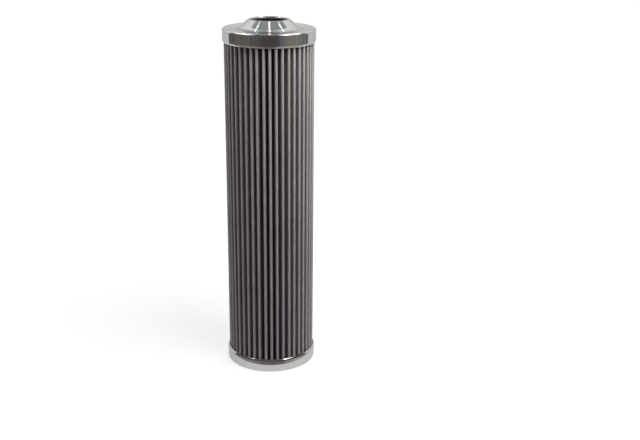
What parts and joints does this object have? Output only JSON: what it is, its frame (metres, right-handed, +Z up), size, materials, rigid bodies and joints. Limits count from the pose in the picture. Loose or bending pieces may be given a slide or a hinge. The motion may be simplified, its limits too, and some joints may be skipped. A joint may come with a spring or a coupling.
{
  "type": "hydraulic filter element",
  "caption": "Upright pleated wire mesh filter element with a perforated core, a turned metal cap at each end, a conical neck with an inner seal ring on top and a plain hole in the foot.",
  "frame": {"origin": "centre of the foot cap's flat underside, on the surface that the element stands on", "axes": "+Z up the element's axis, out through the neck; the pack's seam is on the +Y side"},
  "size_m": [0.068, 0.068, 0.2642],
  "materials": {
    "cap_steel": "fine-turned bare steel, satin flat faces and bright edges",
    "mesh_steel": "woven stainless wire cloth, warm grey, matt from a step away",
    "core_steel": "plain rolled sheet steel",
    "clip_steel": "folded sheet steel, satin",
    "fleece": "thin matt non-woven",
    "filter_fibre": "matt pressed glass fibre",
    "adhesive": "cured epoxy, smooth",
    "seal_rubber": "moulded nitrile rubber, slightly glossy"
  },
  "bodies": {
    "root": {"bottom_cap": "cap_steel", "bottom_bond": "adhesive", "core_tube": "core_steel", "inner_mesh": "mesh_steel", "inner_fleece": "fleece", "fine_layer": "filter_fibre", "coarse_layer": "filter_fibre", "outer_fleece": "fleece", "outer_mesh": "mesh_steel", "seam_clip": "clip_steel", "top_bond": "adhesive", "top_cap": "cap_steel", "neck_o_ring": "seal_rubber"}
  },
  "joints": []
}
